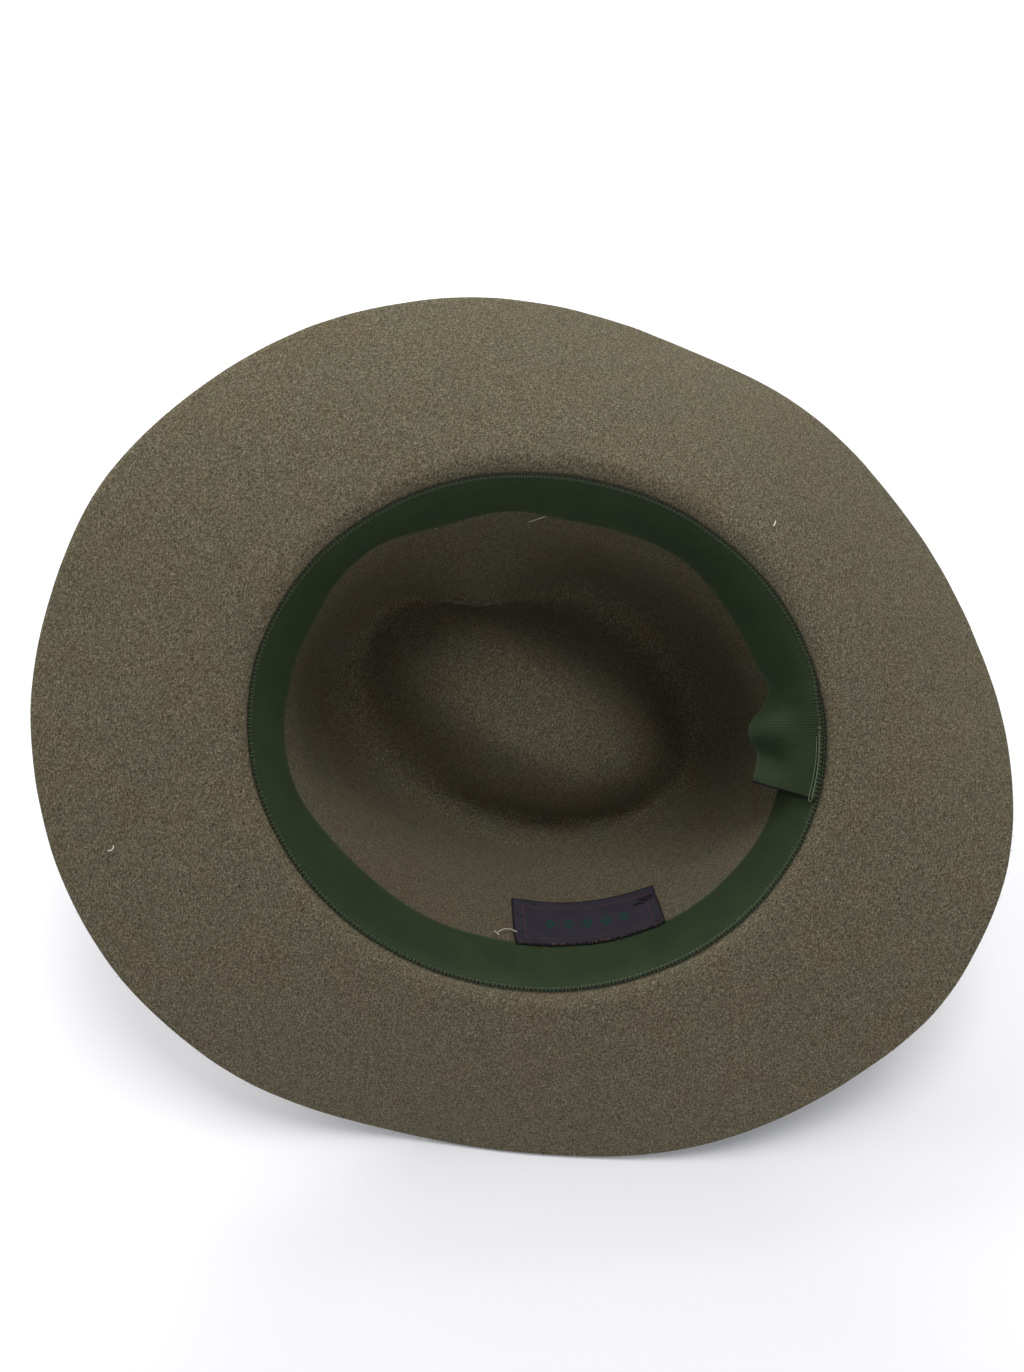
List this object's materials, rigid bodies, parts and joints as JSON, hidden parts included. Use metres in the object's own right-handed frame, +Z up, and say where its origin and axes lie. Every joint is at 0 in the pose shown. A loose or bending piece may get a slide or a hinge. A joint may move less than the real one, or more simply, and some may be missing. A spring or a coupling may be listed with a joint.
{
  "type": "hunting hat",
  "caption": "Soft olive felt hunting hat with a waved, side-curled brim and a dented crown, lying tipped on crown and brim edge, with a green ribbon sweatband and a small woven label inside.",
  "frame": {"origin": "on the ground the hat lies on, straight below the middle of its bounding box", "axes": "+Z up from the ground; the head opening faces up and towards -Y; the hat's length runs roughly along X, its front towards -X and its back, with the ribbon's lap, towards +X; the crown lies towards +Y"},
  "size_m": [0.3362, 0.2542, 0.1815],
  "materials": {
    "olive_felt": "brushed wool felt, olive brown with fine lighter and darker fibres",
    "green_grosgrain": "ribbed grosgrain ribbon, dark green",
    "aubergine_weave": "tight flat weave, dark purplish grey"
  },
  "bodies": {
    "root": {"felt_body": "olive_felt", "sweatband_ribbon": "green_grosgrain", "woven_label": "aubergine_weave"}
  },
  "joints": []
}
